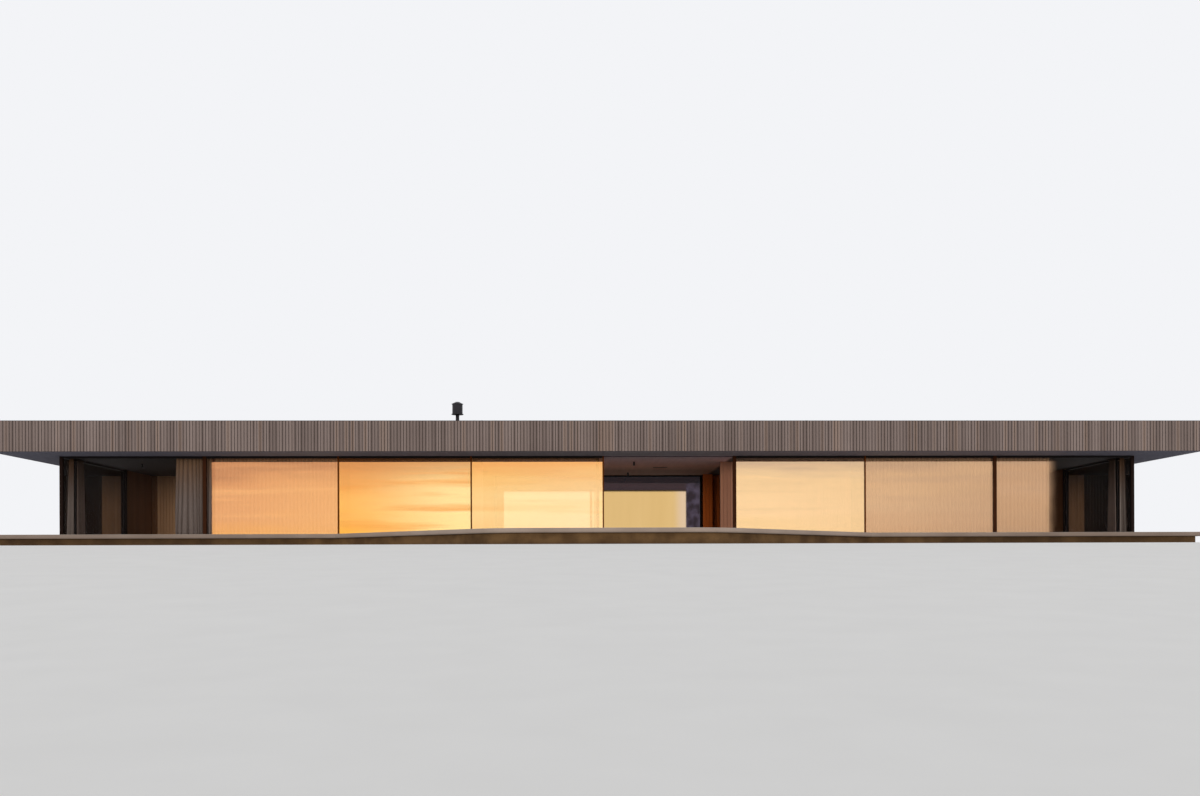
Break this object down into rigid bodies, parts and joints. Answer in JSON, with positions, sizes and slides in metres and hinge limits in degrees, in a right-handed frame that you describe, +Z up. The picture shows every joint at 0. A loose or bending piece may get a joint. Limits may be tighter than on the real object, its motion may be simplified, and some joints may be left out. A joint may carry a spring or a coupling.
{
  "type": "single-storey beach house, 1:2 scale model",
  "caption": "Long flat-roofed beach house with a full glass front, battened fascia, projecting terrace with rounded corners and one sliding glass door.",
  "frame": {"origin": "middle of the plan, terrace included, on the ground under the plinth", "axes": "+X to the right along the glass front, +Y from the terrace to the back, +Z up"},
  "size_m": [22.24, 9.965, 3.138],
  "materials": {
    "plinth": "rough ochre earth render",
    "concrete": "pale smooth concrete with a square edge",
    "floor_boards": "oiled boards",
    "soffit": "dark stained boards, matt",
    "structural_timber": "plain laminated timber",
    "roofing": "matt roof membrane",
    "batten_timber": "vertical battens, weathered grey-brown",
    "capping_metal": "folded dark metal",
    "bronze_frame": "dark bronze, satin",
    "front_glass": "warm golden coated glass, strongly reflecting",
    "clear_glass": "clear glass, faintly smoked",
    "wall_timber": "vertical timber boards, brown",
    "warm_timber": "orange-brown timber panel",
    "dark_metal": "matt black",
    "linen": "heavy natural linen in deep pleats",
    "sheer": "thin sheer cloth in fine folds",
    "flue_metal": "matt black sheet metal"
  },
  "bodies": {
    "house": {"house_plinth": "plinth", "terrace_plinth": "plinth", "house_slab": "concrete", "terrace_slab": "concrete", "interior_floor": "floor_boards", "ceiling_lining": "soffit", "roof_beams": "structural_timber", "roof_deck": "roofing", "fascia_front": "batten_timber", "fascia_back": "batten_timber", "fascia_left": "batten_timber", "fascia_right": "batten_timber", "parapet_capping": "capping_metal", "front_rails": "bronze_frame", "front_mullions": "bronze_frame", "front_glass": "front_glass", "left_side_frame": "bronze_frame", "left_side_glass": "clear_glass", "right_side_frame": "bronze_frame", "right_side_glass": "clear_glass", "left_side_wall": "wall_timber", "right_side_wall": "wall_timber", "left_side_post": "bronze_frame", "right_side_post": "bronze_frame", "rear_wall_left": "batten_timber", "rear_wall_right": "batten_timber", "rear_frame": "bronze_frame", "rear_glass": "front_glass", "gallery_wall_left": "wall_timber", "gallery_wall_right": "wall_timber", "living_wall_left": "warm_timber", "living_wall_right": "warm_timber", "door_floor_rail": "dark_metal", "door_head_guide": "dark_metal", "curtain_tracks": "dark_metal", "linen_curtains_left": "linen", "linen_curtains_right": "linen", "sheer_left": "sheer", "sheer_right": "sheer", "sheer_right_end": "sheer", "ceiling_fittings": "dark_metal", "flue_stem": "flue_metal", "flue_cowl": "flue_metal"},
    "sliding_door": {"sliding_door_frame": "bronze_frame", "sliding_door_glass": "front_glass"}
  },
  "joints": [
    {"name": "door_slide", "type": "slide", "parent": "house", "child": "sliding_door", "axis": [1, 0, 0], "range_m": [0, 2.575]}
  ]
}
